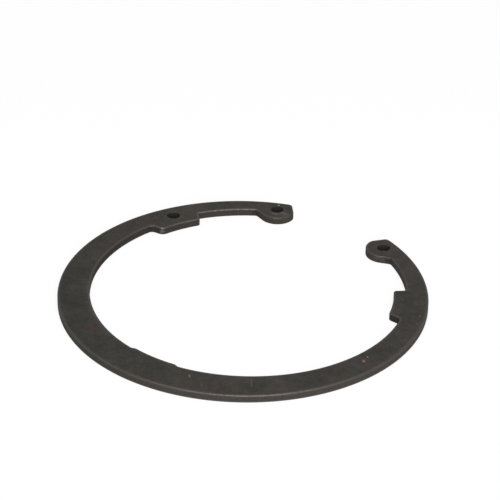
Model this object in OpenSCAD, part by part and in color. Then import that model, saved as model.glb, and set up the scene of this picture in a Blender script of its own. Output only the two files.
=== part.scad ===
// Internal retaining ring, punched in one piece from spring steel.
// It lies on the XY plane about the centre of its outer rim, and its mouth opens towards +Y.

/* [Ring] */
// Diameter over the outer rim
outer_d = 100; // [90:0.5:120]
// Thickness of the steel
thickness = 2.1; // [1.2:0.1:3.5]
// Width of the ring opposite the mouth
back_w = 9.6; // [8:0.1:11]
// Width that the ring tapers to where the mouth is cut out
mouth_w = 4.7; // [4:0.1:6]

/* [Lugs] */
// Angle from the middle of the mouth to each lug hole
lug_angle = 23; // [19:0.5:30]
// Distance of the lug holes from the outer rim
lug_hole_inset = 3.9; // [3.5:0.1:4.3]
// Radius of the lug around its hole
lug_r = 5; // [4.7:0.05:5.4]
// How much of that round the flat end of the lug cuts off
lug_trim = 0.45; // [0.3:0.05:0.7]
// Slant of the flat end away from the mouth, in degrees
lug_slant = 17; // [0:0.5:30]
// How far the underside of the lug runs on past its round before it meets the ring
lug_run = 1.3; // [0.9:0.1:2.5]
// Rounding of the corner between the flat end and the rim
lug_corner_r = 1.3; // [0.6:0.1:1.5]
// Rounding between the flat end and the round of the lug
lug_nose_r = 2.4; // [0.8:0.1:2.4]
// Fillet under the lug
lug_fillet_r = 1; // [0.5:0.1:1.2]

/* [Tabs] */
// Angle from the middle of the mouth to the middle of each tab
tab_angle = 61; // [56:0.5:72]
// Angle that the tip of a tab spans
tab_span = 16.8; // [12:0.2:20]
// Height of a tab above the inner edge
tab_h = 3.5; // [3:0.1:5]
// Lean of the left tab's end that faces the mouth, in degrees from root to tip
left_tab_lean = 0.6; // [0.2:0.1:3]
// Lean of the right tab's end that faces the mouth
right_tab_lean = 0.2; // [0.2:0.1:3]
// Lean of the far end of both tabs
far_tab_lean = 2.1; // [1:0.1:3]
// Rounding of the tab corners that face the mouth
tab_corner_r = 0.9; // [0.6:0.1:1.2]
// Rounding of the left tab's far corner
left_far_corner_r = 2; // [0.8:0.1:2.2]
// Rounding of the right tab's far corner
right_far_corner_r = 1; // [0.8:0.1:2.2]
// Fillet at the root of a tab on its side to the mouth
tab_fillet_r = 0.5; // [0.4:0.1:0.8]
// Fillet at the far root of a tab
far_fillet_r = 1.4; // [0.4:0.1:1.5]
// Distance of the tab hole from the outer rim
tab_hole_inset = 4.55; // [4:0.05:5.5]

/* [Pad] */
// Height of the pad above the inner edge, opposite the mouth
pad_h = 0.6; // [0.3:0.05:1.5]
// Length of the pad
pad_l = 12.6; // [8:0.5:20]
// Length of the ramp at each end of the pad
pad_ramp = 1.2; // [0.8:0.1:2]
// Rounding of the ramps
pad_r = 1; // [0.4:0.1:1.2]

/* [Holes] */
// Diameter of the plier holes in the lugs
lug_hole_d = 3.6; // [2.5:0.1:4]
// Diameter of the hole in the left tab
tab_hole_d = 3.6; // [2.5:0.1:4]

/* [Edges] */
// Width over which the punch drew the rim's upper edge in
rim_draw_w = 0.5; // [0.2:0.05:0.7]
// Depth to which it drew that edge in
rim_draw_h = 0.25; // [0.1:0.01:0.4]
// Width over which it drew in the upper edge along the lugs, the tabs and the inside
draw_w = 0.4; // [0.2:0.05:0.7]
// Depth to which it drew that edge in
draw_h = 0.22; // [0.1:0.01:0.4]
// Rounding of the lower edge
bottom_round = 0.1; // [0.06:0.02:0.3]
// Rounding of the hole rims
hole_round = 0.12; // [0.06:0.01:0.3]

/* [Hidden] */

// Circles of the rim and of the tapering inner edge, whose centre lies nearer the mouth
rim_r = outer_d / 2;
edge_r = (outer_d - back_w - mouth_w) / 2;
edge_shift = (back_w - mouth_w) / 2;
// Angles at which the tabs and the pad begin and end
tab_near = tab_angle - tab_span / 2;
tab_far = tab_angle + tab_span / 2;
pad_half = asin(pad_l / 2 / (rim_r - back_w - pad_h));
pad_foot = asin((pad_l / 2 + pad_ramp) / (rim_r - back_w));
// Fineness of the inner edge, of the lugs and of every rounding
arc_step = 3;
lug_step = 12;
round_steps = 4;
// Rounding that is left to a corner of the steel
least_r = 0.03;
// How far the cutters stand clear of the steel, across its faces and outside its rim
margin = 0.2;
clear_out = 5;
ring_colour = [0.26, 0.25, 0.235];

// A corner of the outline with its rounding
function corner(p, r = 0) = [p.x, p.y, r];
function place(c) = [c.x, c.y];

// A point at a radius about the ring's centre, turned from the middle of the mouth to the left
function polar(r, angle) = r * [-sin(angle), cos(angle)];

// A point of the inner edge, or raised from it on a tab or the pad
function on_edge(angle, raised = 0) = let (
    r = edge_r - raised,
    along = edge_shift * cos(angle),
    across = edge_shift * sin(angle))
    polar(along + sqrt(r * r - across * across), angle);

// The points between the ends of a stretch of that edge
function edge_arc(from, to, raised = 0) = let (n = ceil((to - from) / arc_step))
    [for (k = [1 : 1 : n - 1]) corner(on_edge(from + (to - from) * k / n, raised))];

// The left lug goes round its hole, from the flat end to a straight underside that meets the inner edge
lug_hole = polar(rim_r - lug_hole_inset, lug_angle);
lug_end = lug_angle + (lug_r + lug_run) / rim_r * 180 / PI;
lug_foot = on_edge(lug_end);
flat_facing = lug_angle + lug_slant;
flat_normal = [cos(flat_facing), sin(flat_facing)];
flat_along = [-sin(flat_facing), cos(flat_facing)];
flat_reach = lug_hole * flat_normal + lug_r - lug_trim;
rim_corner = flat_reach * flat_normal + sqrt(rim_r * rim_r - flat_reach * flat_reach) * flat_along;
rim_tangent = [-rim_corner.y, rim_corner.x] / rim_r;
foot_span = lug_foot - lug_hole;
round_from = flat_facing - acos(1 - lug_trim / lug_r);
round_to = atan2(foot_span.y, foot_span.x) + acos(lug_r / norm(foot_span));

function lug_round() = let (n = ceil((round_from - round_to) / lug_step))
    [for (k = [0 : n]) let (a = round_from + (round_to - round_from) * k / n)
        corner(lug_hole + lug_r * [cos(a), sin(a)], k == 0 ? lug_nose_r : 0)];

function lug() = concat(
    [corner(rim_corner + clear_out * (rim_tangent + rim_corner / rim_r)),
     corner(rim_corner + clear_out * rim_tangent),
     corner(rim_corner, lug_corner_r)],
    lug_round(),
    [corner(lug_foot, lug_fillet_r)]);

function tab(near_lean, far_corner_r) = concat(
    [corner(on_edge(tab_near - near_lean), tab_fillet_r),
     corner(on_edge(tab_near, tab_h), tab_corner_r)],
    edge_arc(tab_near, tab_far, tab_h),
    [corner(on_edge(tab_far, tab_h), far_corner_r),
     corner(on_edge(tab_far + far_tab_lean), far_fillet_r)]);

function half_pad() = concat(
    [corner(on_edge(180 - pad_foot), pad_r),
     corner(on_edge(180 - pad_half, pad_h), pad_r)],
    edge_arc(180 - pad_half, 180, pad_h));

// Half of the punched opening, from beside the mouth to the pad
function half_opening(near_lean, far_corner_r) = concat(
    lug(),
    edge_arc(lug_end, tab_near - near_lean),
    tab(near_lean, far_corner_r),
    edge_arc(tab_far + far_tab_lean, 180 - pad_foot),
    half_pad());

function backwards(list) = [for (k = [len(list) - 1 : -1 : 0]) list[k]];
function mirrored(half) = backwards([for (c = half) [-c.x, c.y, c.z]]);

opening = concat(
    [corner([0, rim_r + clear_out])],
    half_opening(left_tab_lean, left_far_corner_r),
    [corner(on_edge(180, pad_h))],
    mirrored(half_opening(right_tab_lean, right_far_corner_r)));

function unit(v) = v / norm(v);
function turned(v, angle) = [v.x * cos(angle) - v.y * sin(angle), v.x * sin(angle) + v.y * cos(angle)];

// The points that stand for one corner when the outline moves out into the steel.
// A corner of the steel keeps a little of its rounding, however far the outline moves.
function corner_points(before, c, after, outset) = let (
    into = unit(place(c) - before),
    out = unit(after - place(c)),
    turn = atan2(cross(into, out), into * out),
    side = turn < 0 ? -1 : 1,
    left = [-into.y, into.x],
    r = c.z == 0 || side > 0 ? c.z : max(c.z, outset + least_r),
    centre = place(c) - r * tan(abs(turn) / 2) * into + side * r * left)
    [for (k = c.z == 0 ? [0.5] : [0 : 1 / round_steps : 1])
        centre - side * (r + side * outset) * turned(left, turn * k)];

function outline(corners, outset) = let (n = len(corners)) [for (k = [0 : n - 1]) let (
    before = place(corners[(k + n - 1) % n]),
    after = place(corners[(k + 1) % n]))
    each corner_points(before, corners[k], after, outset)];

// Steps of a rounded edge as pairs of outset and depth, from the wall up to the face
function quarter(w, h) = [for (k = [0 : round_steps]) let (a = 90 * k / round_steps)
    [w * (1 - cos(a)), h * (1 - sin(a))]];

// Height of a depth below the upper face, or above the lower one
function height(depth, upper) = upper ? thickness - depth : depth;

// A cutter that follows the whole outline and rounds its upper or lower edge
module edge_cutter(w, h, upper) {
    profile = concat(quarter(w, h), [[w, -margin], [-margin, -margin], [-margin, h]]);
    loops = [for (p = profile) [for (q = outline(opening, p.x)) [q.x, q.y, height(p.y, upper)]]];
    n = len(loops[0]);
    faces = [for (i = [0 : len(loops) - 1], k = [0 : n - 1]) let (
        row = i * n,
        next_row = (i + 1) % len(loops) * n,
        m = (k + 1) % n,
        face = [row + k, next_row + k, next_row + m, row + m])
        upper ? face : backwards(face)];
    polyhedron([for (loop = loops) each loop], faces);
}

module punched_opening() {
    translate([0, 0, -margin]) linear_extrude(thickness + 2 * margin) polygon(outline(opening, 0));
    edge_cutter(draw_w, draw_h, true);
    edge_cutter(bottom_round, bottom_round, false);
}

// The disc before punching, with its rim rounded below and above
module blank() {
    rotate_extrude($fn = 180) polygon(concat(
        [[0, 0]],
        backwards([for (q = quarter(bottom_round, bottom_round)) [rim_r - q.x, height(q.y, false)]]),
        [for (q = quarter(rim_draw_w, rim_draw_h)) [rim_r - q.x, height(q.y, true)]],
        [[0, thickness]]));
}

// A round hole with its rims broken
module hole(d) {
    rim = d / 2 + hole_round;
    rotate_extrude($fn = 48) polygon(concat(
        [[0, -margin], [rim, -margin]],
        backwards([for (q = quarter(hole_round, hole_round)) [d / 2 + q.x, height(q.y, false)]]),
        [for (q = quarter(hole_round, hole_round)) [d / 2 + q.x, height(q.y, true)]],
        [[rim, thickness + margin], [0, thickness + margin]]));
}

module retaining_ring() {
    color(ring_colour) difference() {
        blank();
        punched_opening();
        for (side = [-1, 1]) translate([side * lug_hole.x, lug_hole.y]) hole(lug_hole_d);
        translate(polar(rim_r - tab_hole_inset, tab_angle)) hole(tab_hole_d);
    }
}

retaining_ring();
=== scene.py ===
import math

import bpy
from mathutils import Euler, Matrix, Vector


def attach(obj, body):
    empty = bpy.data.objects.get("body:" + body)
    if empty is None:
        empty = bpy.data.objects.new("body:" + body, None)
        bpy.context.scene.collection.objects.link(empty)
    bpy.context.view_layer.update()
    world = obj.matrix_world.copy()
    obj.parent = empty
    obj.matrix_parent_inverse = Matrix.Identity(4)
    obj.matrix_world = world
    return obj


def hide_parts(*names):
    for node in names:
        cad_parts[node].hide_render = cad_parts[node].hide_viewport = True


print("loading the packed ring")
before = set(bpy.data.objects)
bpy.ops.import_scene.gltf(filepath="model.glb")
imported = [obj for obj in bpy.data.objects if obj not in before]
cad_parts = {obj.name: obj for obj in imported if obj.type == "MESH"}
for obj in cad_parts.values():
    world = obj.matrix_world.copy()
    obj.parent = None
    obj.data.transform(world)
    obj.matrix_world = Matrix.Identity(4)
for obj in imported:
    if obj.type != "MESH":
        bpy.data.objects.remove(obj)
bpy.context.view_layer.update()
mm = 0.001


class Wire:
    # one output of a node, on which Python's own signs add Math nodes
    def __init__(self, maker, made, output):
        self.maker = maker
        self.made = made
        self.output = output

    def pick(self, name):
        return Wire(self.maker, self.made, openSocket(self.made.outputs, name))

    def __add__(self, other):
        return self.maker.maths("ADD", self, other)

    __radd__ = __add__

    def __sub__(self, other):
        return self.maker.maths("SUBTRACT", self, other)

    def __rsub__(self, other):
        return self.maker.maths("SUBTRACT", other, self)

    def __mul__(self, other):
        return self.maker.maths("MULTIPLY", self, other)

    __rmul__ = __mul__

    def __truediv__(self, other):
        return self.maker.maths("DIVIDE", self, other)

    def __neg__(self):
        return self.maker.maths("MULTIPLY", self, -1)


def openSocket(sockets, key):
    usable = [s for s in sockets if not s.is_unavailable]
    if isinstance(key, int):
        return usable[key]
    return next(s for s in usable if key in (s.name, s.identifier))


class NodeMaker:
    def __init__(self, tree):
        self.tree = tree

    # settings go in first, because they decide which sockets the node has
    def node(self, kind, settings=None, sockets=None):
        made = self.tree.nodes.new(kind)
        for name, value in (settings or {}).items():
            setattr(made, name, value)
        for key, value in (sockets or {}).items():
            target = openSocket(made.inputs, key)
            for part in value if isinstance(value, list) else [value]:
                if isinstance(part, Wire):
                    self.tree.links.new(part.output, target)
                else:
                    target.default_value = part
        return Wire(self, made, openSocket(made.outputs, 0)) if len(made.outputs) else None

    def maths(self, operation, *values):
        return self.node("ShaderNodeMath", {"operation": operation}, dict(enumerate(values)))


def vectors(maker, operation, sockets):
    return maker.node("ShaderNodeVectorMath", {"operation": operation}, sockets)


def scaled(maker, vector, amount):
    return vectors(maker, "SCALE", {0: vector, "Scale": amount})


def flattened(maker, vector):
    return vectors(maker, "MULTIPLY", {0: vector, 1: (1, 1, 0)})


def softStep(maker, value, low, high):
    # 0 at low, 1 at high and smooth between them; low may be the larger one
    ends = {"Value": value, "From Min": low, "From Max": high}
    return maker.node("ShaderNodeMapRange", {"interpolation_type": "SMOOTHSTEP"}, ends)


# the ring's shape, in millimetres and degrees
size = {
    "outerDiameter": 100,
    "thickness": 2.1,
    "backWidth": 9.6,
    "mouthWidth": 4.7,
    "lugAngle": 23,
    "lugHoleInset": 3.9,
    "lugRadius": 5,
    "lugTrim": 0.45,
    "lugSlant": 17,
    "lugRun": 1.3,
    "lugCornerRadius": 1.3,
    "lugNoseRadius": 2.4,
    "lugFilletRadius": 1,
    "tabAngle": 61,
    "tabSpan": 16.8,
    "tabHeight": 3.5,
    "leftTabLean": 0.6,
    "rightTabLean": 0.2,
    "farTabLean": 2.1,
    "tabCornerRadius": 0.9,
    "leftFarCornerRadius": 2,
    "rightFarCornerRadius": 1,
    "tabFilletRadius": 0.5,
    "farFilletRadius": 1.4,
    "tabHoleInset": 4.55,
    "padHeight": 0.6,
    "padLength": 12.6,
    "padRamp": 1.2,
    "padRadius": 1,
    "holeDiameter": 3.6,
    "rimDrawWidth": 0.5,
    "rimDrawHeight": 0.25,
    "rimDrawFrom": 0.985,  # shares of the rim's radius
    "rimDrawFull": 0.999,
    "drawWidth": 0.4,
    "drawHeight": 0.22,
    "drawFoot": 1.1,  # times the draw's height
    "lowerRound": 0.1,
    "holeRound": 0.12,
    "flatMargin": 0.35,
    "wallMargin": 0.08,
    "roundSteps": 8,
    "holeSides": 96,
    "edgeStep": 1,
    "cornerRoom": 2.5,
    "noseRoom": 10,
    "turnStep": 6,
    "weldGap": 0.002,
}
rimRadius = size["outerDiameter"] / 2
innerRadius = (size["outerDiameter"] - size["backWidth"] - size["mouthWidth"]) / 2
innerShift = (size["backWidth"] - size["mouthWidth"]) / 2


def polar(radius, angle):
    # a place at an angle from the middle of the mouth towards the left lug
    turn = math.radians(angle)
    return Vector((-radius * math.sin(turn), radius * math.cos(turn)))


def onEdge(angle, raised=0):
    # the tapering inner edge is a circle whose centre lies nearer the mouth
    radius = innerRadius - raised
    turn = math.radians(angle)
    reach = innerShift * math.cos(turn) + math.sqrt(radius**2 - (innerShift * math.sin(turn)) ** 2)
    return polar(reach, angle)


def between(first, last, step):
    count = math.ceil(abs(last - first) / step)
    return [first + (last - first) * k / count for k in range(1, count)]


def edgeArc(first, last, raised=0):
    # the ends are left to the rounded corners there
    room = size["cornerRoom"]
    first, last = first + room, last - room
    return [(onEdge(angle, raised), 0) for angle in [first, *between(first, last, size["edgeStep"]), last]]


def lugCorners():
    hole = polar(rimRadius - size["lugHoleInset"], size["lugAngle"])
    reach = size["lugRadius"]
    facing = size["lugAngle"] + size["lugSlant"]
    normal = Vector((math.cos(math.radians(facing)), math.sin(math.radians(facing))))
    flat = hole.dot(normal) + reach - size["lugTrim"]
    rimCorner = flat * normal + math.sqrt(rimRadius**2 - flat**2) * Vector((-normal.y, normal.x))
    lugEnd = size["lugAngle"] + math.degrees((reach + size["lugRun"]) / rimRadius)
    foot = onEdge(lugEnd)
    span = foot - hole
    roundFrom = facing - math.degrees(math.acos(1 - size["lugTrim"] / reach))
    roundTo = math.degrees(math.atan2(span.y, span.x) + math.acos(reach / span.length))
    corners = [(rimCorner, size["lugCornerRadius"])]
    clear = roundFrom - size["noseRoom"]
    for angle in [roundFrom, clear, *between(clear, roundTo, size["turnStep"]), roundTo]:
        turn = math.radians(angle)
        place = hole + reach * Vector((math.cos(turn), math.sin(turn)))
        corners.append((place, size["lugNoseRadius"] if angle == roundFrom else 0))
    return corners + [(foot, size["lugFilletRadius"])], lugEnd


def halfInside(nearLean, farCornerRadius):
    # from the lug's corner on the rim, along the tab, to the middle of the pad
    lug, lugEnd = lugCorners()
    tabNear = size["tabAngle"] - size["tabSpan"] / 2
    tabFar = size["tabAngle"] + size["tabSpan"] / 2
    innerAtPad = rimRadius - size["backWidth"]
    padHalf = math.degrees(math.asin(size["padLength"] / 2 / (innerAtPad - size["padHeight"])))
    padFoot = math.degrees(math.asin((size["padLength"] / 2 + size["padRamp"]) / innerAtPad))
    return [
        *lug,
        *edgeArc(lugEnd, tabNear - nearLean),
        (onEdge(tabNear - nearLean), size["tabFilletRadius"]),
        (onEdge(tabNear, size["tabHeight"]), size["tabCornerRadius"]),
        *edgeArc(tabNear, tabFar, size["tabHeight"]),
        (onEdge(tabFar, size["tabHeight"]), farCornerRadius),
        (onEdge(tabFar + size["farTabLean"]), size["farFilletRadius"]),
        *edgeArc(tabFar + size["farTabLean"], 180 - padFoot),
        (onEdge(180 - padFoot), size["padRadius"]),
        (onEdge(180 - padHalf, size["padHeight"]), size["padRadius"]),
        *edgeArc(180 - padHalf, 180, size["padHeight"]),
    ]


def roundedLoop(corners):
    # each corner is a place and its radius, 0 where it stays as it is
    points = []
    for k, (place, radius) in enumerate(corners):
        if not radius:
            points.append(place)
            continue
        into = (place - corners[k - 1][0]).normalized()
        out = (corners[(k + 1) % len(corners)][0] - place).normalized()
        turn = math.atan2(into.x * out.y - into.y * out.x, into.dot(out))
        side = math.copysign(1, turn)
        left = Vector((-into.y, into.x))
        centre = place - radius * math.tan(abs(turn) / 2) * into + side * radius * left
        count = math.ceil(math.degrees(abs(turn)) / size["turnStep"])
        for j in range(count + 1):
            arm = left.copy()
            arm.rotate(Matrix.Rotation(turn * j / count, 2))
            points.append(centre - side * radius * arm)
    return points


def ringOutline():
    left = halfInside(size["leftTabLean"], size["leftFarCornerRadius"])
    right = halfInside(size["rightTabLean"], size["rightFarCornerRadius"])
    right = [(Vector((-place.x, place.y)), radius) for place, radius in right]
    rimStart = math.degrees(math.atan2(-left[0][0].x, left[0][0].y)) + size["cornerRoom"]
    rimArc = between(rimStart, 360 - rimStart, size["edgeStep"])
    rim = [(polar(rimRadius, angle), 0) for angle in rimArc]
    return roundedLoop([*right, (onEdge(180, size["padHeight"]), 0), *reversed(left), *rim])


def outlineCurve(name, points):
    curve = bpy.data.curves.new(name, "CURVE")
    curve.dimensions = "3D"
    spline = curve.splines.new("POLY")
    spline.points.add(len(points) - 1)
    for target, point in zip(spline.points, points):
        target.co = (point.x * mm, point.y * mm, 0, 1)
    spline.use_cyclic_u = True
    made = bpy.data.objects.new(name, curve)
    bpy.context.scene.collection.objects.link(made)
    return made


cutSizes = (
    "Thickness",
    "Draw Width",
    "Draw Height",
    "Rim Draw Width",
    "Rim Draw Height",
    "Rim Radius",
    "Lower Round",
    "Flat Margin",
    "Wall Margin",
    "Steps",
)


# a sheet's cut edge: rounded above and below, swept along a path that keeps the steel on its left
def cutEdgeTree():
    tree = bpy.data.node_groups.new("cutEdge", "GeometryNodeTree")
    kinds = {"Path": "Geometry", "Steps": "Int"}
    for name in ("Path", *cutSizes):
        kind = "NodeSocket" + kinds.get(name, "Float")
        tree.interface.new_socket(name, in_out="INPUT", socket_type=kind)
    for name in ("Edge", "Upper Path", "Lower Path"):
        tree.interface.new_socket(name, in_out="OUTPUT", socket_type="NodeSocketGeometry")
    maker = NodeMaker(tree)
    given = maker.node("NodeGroupInput")
    path = maker.node("GeometryNodeSetCurveNormal", {"mode": "Z_UP"}, {"Curve": given.pick("Path")})
    thickness, lower = given.pick("Thickness"), given.pick("Lower Round")
    drawn, sunk = given.pick("Draw Width"), given.pick("Draw Height")
    rimDrawn, rimSunk = given.pick("Rim Draw Width"), given.pick("Rim Draw Height")
    margin, wallMargin, steps = (given.pick(name) for name in ("Flat Margin", "Wall Margin", "Steps"))

    def corner(height, inwards):
        return maker.node("ShaderNodeCombineXYZ", None, {"X": -inwards, "Y": -height})

    def line(start, end):
        return maker.node("GeometryNodeCurvePrimitiveLine", None, {"Start": start, "End": end})

    def quarter(width, height, centre, start):
        angles = {"Start Angle": math.radians(start), "Sweep Angle": math.pi / 2}
        arc = maker.node("GeometryNodeCurveArc", None, {"Resolution": steps, "Radius": 1, **angles})
        reach = maker.node("ShaderNodeCombineXYZ", None, {"X": width, "Y": height, "Z": 1})
        placed = {"Geometry": arc, "Translation": centre, "Scale": reach}
        return maker.node("GeometryNodeTransform", None, placed)

    shoulder, toe = thickness - sunk, lower
    profile = [
        line(corner(thickness, drawn + margin), corner(thickness, drawn)),
        quarter(drawn, sunk, corner(shoulder, drawn), 270),
        line(corner(shoulder, 0), corner(shoulder - wallMargin, 0)),
        line(corner(shoulder - wallMargin, 0), corner(toe + wallMargin, 0)),
        line(corner(toe + wallMargin, 0), corner(toe, 0)),
        quarter(lower, lower, corner(toe, lower), 0),
        line(corner(0, lower), corner(0, lower + margin)),
    ]
    profiles = maker.node("GeometryNodeJoinGeometry", None, {"Geometry": profile})

    # along the rim the upper edge is drawn in further, so it is stretched there away from the path
    def stretch(place, plain, rim):
        radius = given.pick("Rim Radius")
        reach = vectors(maker, "LENGTH", {0: place})
        share = softStep(maker, reach, radius * size["rimDrawFrom"], radius * size["rimDrawFull"])
        return 1 + share * (rim / plain - 1)

    here = maker.node("GeometryNodeInputPosition")
    kind = {"data_type": "FLOAT_VECTOR"}
    noted = {"Geometry": path, "Name": "track", "Value": here}
    noted = maker.node("GeometryNodeStoreNamedAttribute", kind, noted)
    edge = maker.node("GeometryNodeCurveToMesh", None, {"Curve": noted, "Profile Curve": profiles})
    track = maker.node("GeometryNodeInputNamedAttribute", kind, {"Name": "track"})
    depth = thickness - maker.node("ShaderNodeSeparateXYZ", None, {"Vector": here}).pick("Z")
    inUpperHalf = maker.maths("LESS_THAN", depth, thickness / 2)
    arm = flattened(maker, vectors(maker, "SUBTRACT", {0: here, 1: track}))
    wider = scaled(maker, arm, (stretch(track, drawn, rimDrawn) - 1) * inUpperHalf)
    # the rounding sinks as far as its foot, and the wall below stays
    onRounding = maker.maths("LESS_THAN", depth, sunk * size["drawFoot"])
    deeper = -depth * (stretch(track, sunk, rimSunk) - 1) * onRounding
    deeper = maker.node("ShaderNodeCombineXYZ", None, {"Z": deeper})
    moved = {"Geometry": edge, "Offset": vectors(maker, "ADD", {0: wider, 1: deeper})}
    edge = maker.node("GeometryNodeSetPosition", None, moved)

    # the finish reads how near a place is to the cut, from 0 on the flat face to 1 at the wall
    upperSpan = (drawn + margin) * stretch(track, drawn, rimDrawn)
    lowerSpan = lower + margin
    span = lowerSpan + (upperSpan - lowerSpan) * inUpperHalf
    near = {"Geometry": edge, "Name": "near", "Value": 1 - vectors(maker, "LENGTH", {0: arm}) / span}
    edge = maker.node("GeometryNodeStoreNamedAttribute", None, near)
    edge = maker.node("GeometryNodeRemoveAttribute", None, {"Geometry": edge, "Name": "track"})
    normal = maker.node("GeometryNodeInputNormal")
    shifted = []
    for reach in (-(drawn + margin) * stretch(here, drawn, rimDrawn), -lowerSpan):
        moved = {"Geometry": path, "Offset": scaled(maker, normal, reach)}
        shifted.append(maker.node("GeometryNodeSetPosition", None, moved))
    maker.node("NodeGroupOutput", None, {"Edge": edge, "Upper Path": shifted[0], "Lower Path": shifted[1]})
    return tree


# the whole ring: its cut edges and those of its holes, closed by an upper and a lower face
def blankedRingTree():
    tree = bpy.data.node_groups.new("blankedRing", "GeometryNodeTree")
    kinds = {
        "Outline": "Geometry",
        "Hole Round": "Float",
        "Hole Radius": "Float",
        "Left Lug Hole": "Vector",
        "Right Lug Hole": "Vector",
        "Tab Hole": "Vector",
        "Finish": "Material",
        **{name: "Int" if name == "Steps" else "Float" for name in cutSizes},
    }
    for name, kind in kinds.items():
        tree.interface.new_socket(name, in_out="INPUT", socket_type="NodeSocket" + kind)
    tree.interface.new_socket("Ring", in_out="OUTPUT", socket_type="NodeSocketGeometry")
    maker = NodeMaker(tree)
    given = maker.node("NodeGroupInput")
    circle = {"Resolution": size["holeSides"], "Radius": given.pick("Hole Radius")}
    circle = maker.node("GeometryNodeCurvePrimitiveCircle", None, circle)
    # a hole runs the other way round, so that the steel is on its left too
    circle = maker.node("GeometryNodeReverseCurve", None, {"Curve": circle})
    holes = [
        maker.node("GeometryNodeTransform", None, {"Geometry": circle, "Translation": given.pick(name)})
        for name in ("Left Lug Hole", "Right Lug Hole", "Tab Hole")
    ]
    holes = maker.node("GeometryNodeJoinGeometry", None, {"Geometry": holes})
    cutEdge = cutEdgeTree()
    outer = {"Path": given.pick("Outline"), **{name: given.pick(name) for name in cutSizes}}
    inner = {**outer, "Path": holes}
    inner.update({name: given.pick("Hole Round") for name in ("Draw Width", "Draw Height", "Lower Round")})
    cuts = [maker.node("GeometryNodeGroup", {"node_tree": cutEdge}, values) for values in (outer, inner)]
    parts = [cut.pick("Edge") for cut in cuts]
    for pathName, height in (("Upper Path", given.pick("Thickness")), ("Lower Path", 0)):
        paths = [cut.pick(pathName) for cut in cuts]
        paths = maker.node("GeometryNodeJoinGeometry", None, {"Geometry": paths})
        face = maker.node("GeometryNodeFillCurve", None, {"Curve": paths})
        raised = maker.node("ShaderNodeCombineXYZ", None, {"Z": height})
        face = maker.node("GeometryNodeTransform", None, {"Geometry": face, "Translation": raised})
        if pathName == "Lower Path":
            face = maker.node("GeometryNodeFlipFaces", None, {"Mesh": face})
        parts.append(face)
    ring = maker.node("GeometryNodeJoinGeometry", None, {"Geometry": parts})
    weld = {"Geometry": ring, "Distance": size["weldGap"] * mm}
    ring = maker.node("GeometryNodeMergeByDistance", None, weld)
    ring = maker.node("GeometryNodeSetShadeSmooth", None, {"Geometry": ring})
    # the finish reads where a flat face, at 0, turns into a wall, at 1
    normal = maker.node("GeometryNodeInputNormal")
    lean = maker.node("ShaderNodeSeparateXYZ", None, {"Vector": normal}).pick("Z")
    upright = {"Geometry": ring, "Name": "wall", "Value": 1 - maker.maths("ABSOLUTE", lean)}
    ring = maker.node("GeometryNodeStoreNamedAttribute", {"domain": "POINT"}, upright)
    ring = maker.node("GeometryNodeRealizeInstances", None, {"Geometry": ring})
    ring = maker.node("GeometryNodeSetMaterial", None, {"Geometry": ring, "Material": given.pick("Finish")})
    maker.node("NodeGroupOutput", None, {"Ring": ring})
    return tree


def meshFromNodes(source, tree, values, name):
    modifier = source.modifiers.new(tree.name, "NODES")
    modifier.node_group = tree
    sockets = {item.name: item.identifier for item in tree.interface.items_tree if item.in_out == "INPUT"}
    for key, value in values.items():
        modifier[sockets[key]] = value
    bpy.context.view_layer.update()
    graph = bpy.context.evaluated_depsgraph_get()
    mesh = bpy.data.meshes.new_from_object(source.evaluated_get(graph), depsgraph=graph)
    source.modifiers.remove(modifier)
    bpy.data.objects.remove(source)
    mesh.name = name
    made = bpy.data.objects.new(name, mesh)
    bpy.context.scene.collection.objects.link(made)
    return made


def markOrPaintedLight(start, end, width, share, colour, onWall=False):
    # a speck, scratch, worn patch, painted highlight or painted shade, on the upper face or half way down a
    # wall
    height = size["thickness"] / 2 if onWall else size["thickness"]
    return {
        "start": Vector((*start, height)),
        "end": Vector((*end, height)),
        "width": width,
        "share": share,
        "colour": (*colour, 1),
        "onWall": onWall,
    }
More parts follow.
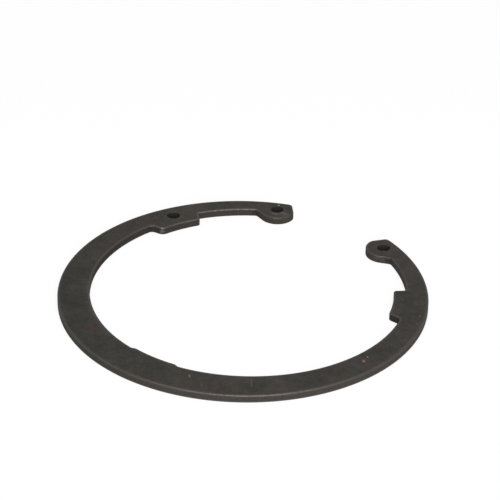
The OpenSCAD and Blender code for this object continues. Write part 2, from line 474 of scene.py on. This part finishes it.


# the ring's finish, with painted highlights and painted shade among it; lengths are in millimetres, and a
# pair is where a change begins and where it is full
steelFinish = {
    "coolCoat": (0.0295, 0.0320, 0.0270, 1),
    "warmCoat": (0.0388, 0.0318, 0.0287, 1),
    "cloudSize": 9,
    "patchSize": 2.2,
    "blotchSize": 0.7,
    "grainSize": 0.3,
    "crystalSize": 0.09,
    "rollingAngle": 32,
    "rollingPitch": 0.14,
    "rollingStretch": 0.02,
    "tones": {
        "clouds": 0.8,
        "patches": 0.7,
        "blotches": 0.75,
        "grain": 1.1,
        "rolling": 0.3,
        "crystals": 0.2,
    },
    "toneShift": 0.9,
    "tintSize": 1.3,
    "tintLevels": (0.33, 0.67),
    "tintShift": 0.04,
    "tintByClouds": 0.2,
    "tintByDull": 0.045,
    "yellowSize": 2.8,
    "yellowShare": 0.22,
    "blueShare": 0.985,
    "dullMiddle": (-28, -33, 0),
    "dullReach": (48, 24),
    "dullShare": 0.1,
    "dullRimShade": 0.35,
    "sheenMiddle": (-24, -34, 0),
    "sheenReach": (21, 12.6),
    "sheenWidth": (2.1, 0.63),
    "sheenRagged": 2,
    "sheenShare": 0.28,
    "outerBand": (0.9, 0.5),
    "outerUpright": (0.5, 0.95),
    "innerDepth": (0.06, 0.18),
    "shearedWall": (0.0445, 0.0385, 0.0333, 1),
    "brokenWall": (0.0425, 0.0373, 0.0322, 1),
    "innerWall": (0.0285, 0.0243, 0.0206, 1),
    "innerWallPaintedLight": (0.0362, 0.0308, 0.026, 1),
    "innerPaintedLightFade": (5, 32),
    "leftHoleShadedWall": (0.027, 0.0255, 0.0215, 1),
    "rightHoleShadedWall": (0.034, 0.0265, 0.0235, 1),
    "tabHoleShadedWall": (0.0265, 0.026, 0.0215, 1),
    "boreEdge": 0.06,
    "besideHole": (0.5, 0.4),
    "shearedTo": 1.0,
    "shearedSoftness": 0.12,
    "waverSize": 1.7,
    "waverHeight": 0.9,
    "streakWidth": 0.16,
    "streakStretch": 0.12,
    "cutTone": 0.2,
    "cutStreaks": 0.9,
    "cutGrain": 0.7,
    "rubbedSteel": (0.108, 0.0988, 0.0905, 1),
    "rubbedAndHighlitByLeftLug": (0.155, 0.142, 0.13, 1),
    "rubbedShare": 0.86,
    "rubbedDepth": {"inside": 0.25, "rim": 0.5},
    "rubbedFrom": {"inside": 0.03, "rim": 0.25},
    "rubbedFull": {"inside": 0.45, "rim": 0.75},
    "unevenRub": {"inside": 0.45, "rim": 0.33},
    "unevenSize": 0.8,
    "unevenLevels": (0.36, 0.6),
    "fullDepthShare": 0.4,
    "leftLugEdge": (1.1, 0.3),
    "leftLugSpared": 0.5,
    "armsBeyond": (21, 24.5),
    "rightArmShadeShare": 0.6,
    "roughness": 0.5,
    "roughGrain": 0.16,
    "roughClouds": 0.1,
    "roughWall": 0.25,
    "smoothRubbed": 0.28,
    "specular": 0.12,
    "reliefDepth": 0.012,
    "relief": {"grain": 0.5, "crystals": 0.5, "rolling": 0.25},
    "raggedSize": 0.35,
    "markOrLightFade": (0.7, 0.2),
    "marksAndPaintedLight": [
        markOrPaintedLight((12.3, -41.3), (12.8, -41.8), 0.6, 0.8, (0.12, 0.096, 0.056)),
        markOrPaintedLight((17.5, -43.1), (17.6, -43.2), 0.55, 0.8, (0.085, 0.055, 0.052)),
        markOrPaintedLight((44.5, -9.0), (44.9, -9.6), 1.0, 0.8, (0.085, 0.05, 0.042)),
        markOrPaintedLight((44.5, -9.1), (44.9, -9.6), 0.5, 0.8, (0.17, 0.13, 0.115)),
        markOrPaintedLight((44.4, -7.15), (44.5, -7.2), 0.42, 1, (0.2, 0.185, 0.175)),
        markOrPaintedLight((46.4, 14.1), (46.5, 14.0), 0.4, 0.8, (0.085, 0.078, 0.072)),
        markOrPaintedLight((44.9, 18.0), (45.0, 17.9), 0.45, 1, (0.1, 0.092, 0.084)),
        markOrPaintedLight((26.1, -33.4), (28.0, -36.0), 0.5, 0.7, (0.062, 0.058, 0.053)),
        markOrPaintedLight((39.7, 21.0), (40.2, 25.7), 0.4, 0.6, (0.026, 0.024, 0.021)),
        markOrPaintedLight((-17.0, 41.0), (-14.6, 41.2), 3.4, 0.5, (0.062, 0.06, 0.053)),
        markOrPaintedLight((-16.4, 41.7), (-14.2, 41.5), 0.9, 0.5, (0.1, 0.1, 0.088)),
        markOrPaintedLight((-15.7, 37.9), (-14.4, 38.7), 1.0, 0.45, (0.105, 0.1, 0.08)),
        markOrPaintedLight((-17.5, 39.8), (-16.7, 40.0), 1.0, 0.5, (0.095, 0.094, 0.082)),
        # painted highlight: a glint on the back rim of the left lug's hole
        markOrPaintedLight((-19.1, 44.72), (-18.9, 44.72), 0.34, 0.8, (0.4, 0.39, 0.37)),
        # painted highlight on the left tab's far tip, painted shade on its end wall, and a painted highlight
        # on the tip's wall
        markOrPaintedLight((-37.9, 13.9), (-37.5, 14.1), 0.9, 0.85, (0.3, 0.28, 0.27)),
        markOrPaintedLight((-38.8, 13.5), (-41.0, 12.9), 1.8, 0.75, (0.018, 0.0155, 0.0135), onWall=True),
        markOrPaintedLight((-37.8, 14.0), (-37.5, 14.1), 1.5, 0.7, (0.12, 0.105, 0.096), onWall=True),
        # painted shade in the fillet under the left lug
        markOrPaintedLight((-23.0, 38.7), (-22.3, 38.5), 1.5, 0.65, (0.018, 0.015, 0.0135), onWall=True),
        # painted highlight along the right lug's front edge, and painted shade that dims that edge's
        # highlight further right
        markOrPaintedLight((18.2, 37.0), (19.7, 37.6), 0.9, 0.5, (0.105, 0.097, 0.088)),
        markOrPaintedLight((21.6, 38.9), (22.6, 39.4), 1.1, 0.55, (0.034, 0.031, 0.028)),
        markOrPaintedLight((18.1, 36.9), (18.9, 37.1), 1.3, 0.5, (0.068, 0.061, 0.056), onWall=True),
        markOrPaintedLight((20.2, 37.6), (20.7, 37.9), 1.1, 0.45, (0.062, 0.058, 0.05), onWall=True),
        # painted shade in the fillet under the right lug
        markOrPaintedLight((22.3, 38.5), (23.0, 38.7), 1.5, 0.65, (0.018, 0.015, 0.0135), onWall=True),
        # painted shade on the right tab's far end wall, in its corner with the ring
        markOrPaintedLight((38.6, 14.05), (41.2, 13.85), 2.2, 0.85, (0.023, 0.019, 0.0165), onWall=True),
    ],
}


def blended(maker, share, first, second):
    return maker.node("ShaderNodeMix", {"data_type": "RGBA"}, {"Factor": share, "A": first, "B": second})


noiseMean = 0.5


def noise(maker, place, lump, detail=3):
    # lump is about the width of one light or dark patch
    return maker.node("ShaderNodeTexNoise", None, {"Vector": place, "Scale": 1 / lump, "Detail": detail})


def holePlaces():
    return {
        "leftHoleShadedWall": lugHole,
        "rightHoleShadedWall": Vector((-lugHole.x, lugHole.y)),
        "tabHoleShadedWall": tabHole,
    }


def markOrLightMask(maker, place, ragged, side, spot):
    run = spot["end"] - spot["start"]
    arm = vectors(maker, "SUBTRACT", {0: place, 1: spot["start"]})
    along = vectors(maker, "DOT_PRODUCT", {0: arm, 1: run}) * (1 / run.length_squared)
    along = maker.node("ShaderNodeClamp", None, {"Value": along})
    nearest = scaled(maker, tuple(run), along)
    gap = vectors(maker, "DISTANCE", {0: arm, 1: nearest}) + ragged * spot["width"]
    begins, full = (spot["width"] * share for share in steelFinish["markOrLightFade"])
    mask = spot["share"] * softStep(maker, gap, begins, full)
    return mask * side if spot["onWall"] else mask


def phosphatedSteel():
    look = steelFinish
    material = bpy.data.materials.new("phosphatedSpringSteel")
    material.use_nodes = True
    material.node_tree.nodes.clear()
    maker = NodeMaker(material.node_tree)
    place = scaled(maker, maker.node("ShaderNodeTexCoord").pick("Object"), 1 / mm)
    wall = maker.node("ShaderNodeAttribute", {"attribute_name": "wall"}).pick("Fac")
    near = maker.node("ShaderNodeAttribute", {"attribute_name": "near"}).pick("Fac")
    axes = maker.node("ShaderNodeSeparateXYZ", None, {"Vector": place})
    height = axes.pick("Z")
    middle = size["thickness"] / 2
    inFromFace = middle - maker.maths("ABSOLUTE", height - middle)

    # where the outer rim is, and where the cut walls are
    reach = vectors(maker, "LENGTH", {0: flattened(maker, place)})
    outer = softStep(maker, reach, *(rimRadius - band for band in look["outerBand"]))
    innerSide = softStep(maker, inFromFace, *look["innerDepth"])
    outerSide = softStep(maker, wall, *look["outerUpright"])
    side = blended(maker, outer, innerSide, outerSide)
    # inside each hole the wall is painted darker than the other walls, as painted shade, with that hole's
    # own tint
    shadedBores, beside = [], 0
    for name, hole in holePlaces().items():
        off = vectors(maker, "SUBTRACT", {0: place, 1: (*hole, 0)})
        off = vectors(maker, "LENGTH", {0: flattened(maker, off)})
        edge = size["holeDiameter"] / 2 + size["holeRound"]
        shadedBores.append((softStep(maker, off, edge, edge - look["boreEdge"]), look[name]))
        beside = beside + softStep(maker, off, *(edge + gap for gap in look["besideHole"]))

    # the coat: broad clouds, a cool or warm tint, fine crystals and faint lines from the rolling
    clouds = noise(maker, place, look["cloudSize"], detail=4)
    tint = noise(maker, place, look["tintSize"])
    grain = noise(maker, place, look["grainSize"])
    crystals = maker.node("ShaderNodeTexVoronoi", None, {"Vector": place, "Scale": 1 / look["crystalSize"]})
    rollingTurn = (0, 0, math.radians(look["rollingAngle"]))
    turned = {"Vector": place, "Rotation": rollingTurn, "Scale": (look["rollingStretch"], 1, 1)}
    rolling = noise(maker, maker.node("ShaderNodeMapping", None, turned), look["rollingPitch"])
    # one arm is a little darker and cooler than the rest
    dull = vectors(maker, "DISTANCE", {0: place, 1: look["dullMiddle"]})
    dull = softStep(maker, dull, *look["dullReach"])
    tint = tint + look["tintByClouds"] * (clouds - noiseMean) + look["tintShift"] - look["tintByDull"] * dull
    coat = blended(maker, softStep(maker, tint, *look["tintLevels"]), look["coolCoat"], look["warmCoat"])
    yellow = look["blueShare"] - look["yellowShare"] * (noise(maker, place, look["yellowSize"]) - noiseMean)
    yellow = maker.node("ShaderNodeCombineXYZ", None, {"X": 1, "Y": 1, "Z": yellow})
    coat = vectors(maker, "MULTIPLY", {0: coat, 1: yellow})
    patches = noise(maker, place, look["patchSize"])
    blotches = noise(maker, place, look["blotchSize"])
    tones = look["tones"]
    tone = tones["clouds"] * clouds + tones["patches"] * patches + tones["blotches"] * blotches
    tone = tone + tones["grain"] * grain + tones["rolling"] * rolling + tones["crystals"] * crystals
    tone = tone - look["toneShift"]

    # one stretch of the upper face along the inner edge is painted lighter, as a painted sheen
    fromEdge = vectors(maker, "DISTANCE", {0: place, 1: (0, innerShift, size["thickness"])}) - innerRadius
    paintedSheen = softStep(maker, fromEdge + look["sheenRagged"] * (blotches - noiseMean), *look["sheenWidth"])
    along = vectors(maker, "DISTANCE", {0: place, 1: look["sheenMiddle"]})
    paintedSheen = paintedSheen * softStep(maker, along, *look["sheenReach"])
    tone = tone * (1 + look["sheenShare"] * paintedSheen)

    # the cut wall: smooth where it was sheared, coarse where it broke away below, with upright streaks
    upright = vectors(maker, "MULTIPLY", {0: place, 1: (1, 1, look["streakStretch"])})
    streaks = noise(maker, upright, look["streakWidth"])
    waver = noise(maker, place, look["waverSize"])
    shearedFrom = look["shearedTo"] - look["shearedSoftness"]
    shearedFull = look["shearedTo"] + look["shearedSoftness"]
    sheared = softStep(maker, height + look["waverHeight"] * (waver - noiseMean), shearedFrom, shearedFull)
    outerCut = blended(maker, sheared, look["brokenWall"], look["shearedWall"])
    # the inner wall is painted lighter towards the lugs, where it faces the lamps: painted light
    byLugs = softStep(maker, axes.pick("Y"), *look["innerPaintedLightFade"])
    innerCutWithLight = blended(maker, byLugs, look["innerWall"], look["innerWallPaintedLight"])
    cut = blended(maker, outer, innerCutWithLight, outerCut)
    # the holes' walls take their painted shade
    for share, shadedBoreColour in shadedBores:
        cut = blended(maker, share, cut, shadedBoreColour)
    cutTone = look["cutTone"] + look["cutStreaks"] * streaks + look["cutGrain"] * grain
    colour = blended(maker, side, scaled(maker, coat, tone), scaled(maker, cut, cutTone))
    colour = scaled(maker, colour, 1 - look["dullShare"] * dull)

    # the rounded edges are rubbed lighter, and the outer rim most
    def byRim(name):
        inside, rim = look[name]["inside"], look[name]["rim"]
        return inside + (rim - inside) * outer

    rubbed = softStep(maker, near, byRim("rubbedFrom"), byRim("rubbedFull"))
    rubbedDepth, uneven = byRim("rubbedDepth"), byRim("unevenRub")
    rubbed = rubbed * softStep(maker, inFromFace, rubbedDepth, rubbedDepth * look["fullDepthShare"])
    rubbed = rubbed * (1 - beside)
    patchy = softStep(maker, noise(maker, place, look["unevenSize"], detail=4), *look["unevenLevels"])
    rubbed = rubbed * (1 - uneven + uneven * patchy)
    leftLug = vectors(maker, "DISTANCE", {0: place, 1: (*lugHole, size["thickness"])})
    leftLug = softStep(maker, leftLug, *(size["lugRadius"] + band for band in look["leftLugEdge"]))
    # on the darker arm the rim's rubbed edge is turned down, as painted shade over its highlight
    rubbed = rubbed * look["rubbedShare"] * (1 - look["dullRimShade"] * dull * outer)
    rubbed = rubbed * (1 - look["leftLugSpared"] * leftLug)
    begins, full = look["armsBeyond"]
    innerByLugs = byLugs * (1 - outer)
    # by the left lug the inner edge's rubbed steel is painted brighter, as a painted highlight
    highlightByLeftLug = innerByLugs * softStep(maker, axes.pick("X"), -begins, -full)
    # along the right arm the inner edge's rubbed steel is turned down, as painted shade over its highlight
    rightArmShade = innerByLugs * softStep(maker, axes.pick("X"), begins, full)
    rubbed = rubbed * (1 - look["rightArmShadeShare"] * rightArmShade)
    rubbedAndHighlitColour = blended(maker, highlightByLeftLug, look["rubbedSteel"], look["rubbedAndHighlitByLeftLug"])
    colour = blended(maker, rubbed, colour, rubbedAndHighlitColour)

    # single specks, scratches and worn patches, and painted highlights and painted shade at tips, fillets
    # and end walls
    ragged = noise(maker, place, look["raggedSize"], detail=2) - noiseMean
    for spot in look["marksAndPaintedLight"]:
        colour = blended(maker, markOrLightMask(maker, place, ragged, side, spot), colour, spot["colour"])

    relief = look["relief"]
    raised = relief["grain"] * grain + relief["crystals"] * crystals + relief["rolling"] * rolling
    raised = raised + (1 - sheared) * side * (streaks + waver)
    bump = {"Strength": 1, "Distance": look["reliefDepth"] * mm, "Height": raised}
    roughness = look["roughness"] + look["roughGrain"] * grain + look["roughClouds"] * clouds
    roughness = roughness - look["smoothRubbed"] * rubbed + look["roughWall"] * side * (1 - rubbed)
    shader = {
        "Base Color": colour,
        "Metallic": rubbed,
        "Roughness": roughness,
        "Specular IOR Level": look["specular"],
        "Normal": maker.node("ShaderNodeBump", None, bump),
    }
    surface = maker.node("ShaderNodeBsdfPrincipled", None, shader)
    maker.node("ShaderNodeOutputMaterial", None, {"Surface": surface})
    return material


print("punching the ring from its outline")
lugHole = polar(rimRadius - size["lugHoleInset"], size["lugAngle"])
tabHole = polar(rimRadius - size["tabHoleInset"], size["tabAngle"])
ring = meshFromNodes(
    outlineCurve("ringOutline", ringOutline()),
    blankedRingTree(),
    {
        "Thickness": size["thickness"] * mm,
        "Draw Width": size["drawWidth"] * mm,
        "Draw Height": size["drawHeight"] * mm,
        "Rim Draw Width": size["rimDrawWidth"] * mm,
        "Rim Draw Height": size["rimDrawHeight"] * mm,
        "Rim Radius": rimRadius * mm,
        "Lower Round": size["lowerRound"] * mm,
        "Hole Round": size["holeRound"] * mm,
        "Flat Margin": size["flatMargin"] * mm,
        "Wall Margin": size["wallMargin"] * mm,
        "Steps": size["roundSteps"],
        "Hole Radius": size["holeDiameter"] / 2 * mm,
        "Left Lug Hole": (lugHole.x * mm, lugHole.y * mm, 0),
        "Right Lug Hole": (-lugHole.x * mm, lugHole.y * mm, 0),
        "Tab Hole": (tabHole.x * mm, tabHole.y * mm, 0),
        "Finish": phosphatedSteel(),
    },
    "retainingRing",
)
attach(ring, "root")
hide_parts("retaining_ring")
print("ring has", len(ring.data.polygons), "faces")

print("setting the camera, the table and the light")
photoView = {
    "place": (0.31345, -0.45364, 0.34213),
    "turn": (59.3315, -0.9445, 35.0323),
    "lens": 172.8,
    "sensor": 36,
    "farthest": 50,
}
camera = bpy.data.objects.new("photoCamera", bpy.data.cameras.new("photoCamera"))
camera.data.lens = photoView["lens"]
camera.data.sensor_width = photoView["sensor"]
camera.data.clip_end = photoView["farthest"]
camera.location = photoView["place"]
camera.rotation_euler = Euler([math.radians(angle) for angle in photoView["turn"]])
bpy.context.scene.collection.objects.link(camera)
bpy.context.scene.camera = camera

# lengths in metres, but around a hole in millimetres
studio = {
    "tableSize": 6,
    "tableDrop": 0.00002,
    "tableColour": (0.85, 0.85, 0.85, 1),
    "whiteShare": 0.85,
    "unlitAround": (2.5, 2.7),
    "shadedPaper": (0.2, 0.2, 0.2, 1),
    "worldLight": 0.45,
    "lamps": [
        {"name": "overheadBox", "place": (0.18, -0.25, 0.93), "width": 0.85, "watts": 8},
        {"name": "rightPanel", "place": (0.75, -0.76, 0.3), "width": 0.5, "watts": 7},
    ],
}


def tableFinish():
    material = bpy.data.materials.new("whitePaper")
    material.use_nodes = True
    material.node_tree.nodes.clear()
    maker = NodeMaker(material.node_tree)
    rays = maker.node("ShaderNodeLightPath")
    mirrored = maker.maths("MAXIMUM", rays.pick("Is Glossy Ray"), rays.pick("Is Transmission Ray"))
    seen = maker.maths("MAXIMUM", rays.pick("Is Camera Ray"), mirrored)
    glow = maker.node("ShaderNodeEmission", None, {"Color": (1, 1, 1, 1), "Strength": 1})
    # under the ring's holes the paper has only what light gets in there, and is painted dark grey as painted
    # shade
    clear = 1
    place = scaled(maker, maker.node("ShaderNodeTexCoord").pick("Object"), 1 / mm)
    for hole in holePlaces().values():
        gap = vectors(maker, "DISTANCE", {0: place, 1: (*hole, 0)})
        clear = clear * softStep(maker, gap, *studio["unlitAround"])
    paper = blended(maker, clear, studio["shadedPaper"], studio["tableColour"])
    paper = maker.node("ShaderNodeBsdfDiffuse", None, {"Color": paper})
    share = seen * studio["whiteShare"] * clear
    mixed = maker.node("ShaderNodeMixShader", None, {0: share, 1: paper, 2: glow})
    maker.node("ShaderNodeOutputMaterial", None, {"Surface": mixed})
    return material


half = studio["tableSize"] / 2
corners = [(x * half, y * half, -studio["tableDrop"]) for x, y in ((-1, -1), (1, -1), (1, 1), (-1, 1))]
tableMesh = bpy.data.meshes.new("table")
tableMesh.from_pydata(corners, [], [(0, 1, 2, 3)])
table = bpy.data.objects.new("table", tableMesh)
bpy.context.scene.collection.objects.link(table)
table.data.materials.append(tableFinish())

world = bpy.data.worlds.new("studioAir")
bpy.context.scene.world = world
world.use_nodes = True
world.node_tree.nodes.clear()
air = NodeMaker(world.node_tree)
rays = air.node("ShaderNodeLightPath")
soft = air.node("ShaderNodeBackground", None, {"Color": (1, 1, 1, 1), "Strength": studio["worldLight"]})
white = air.node("ShaderNodeBackground", None, {"Color": (1, 1, 1, 1), "Strength": 1})
tent = air.node("ShaderNodeMixShader", None, {0: rays.pick("Is Camera Ray"), 1: soft, 2: white})
air.node("ShaderNodeOutputWorld", None, {"Surface": tent})

for lamp in studio["lamps"]:
    light = bpy.data.lights.new(lamp["name"], "AREA")
    light.size = lamp["width"]
    light.energy = lamp["watts"]
    made = bpy.data.objects.new(lamp["name"], light)
    made.location = lamp["place"]
    made.rotation_euler = (-Vector(lamp["place"])).to_track_quat("-Z", "Y").to_euler()
    bpy.context.scene.collection.objects.link(made)

bpy.context.scene.view_settings.view_transform = "Standard"
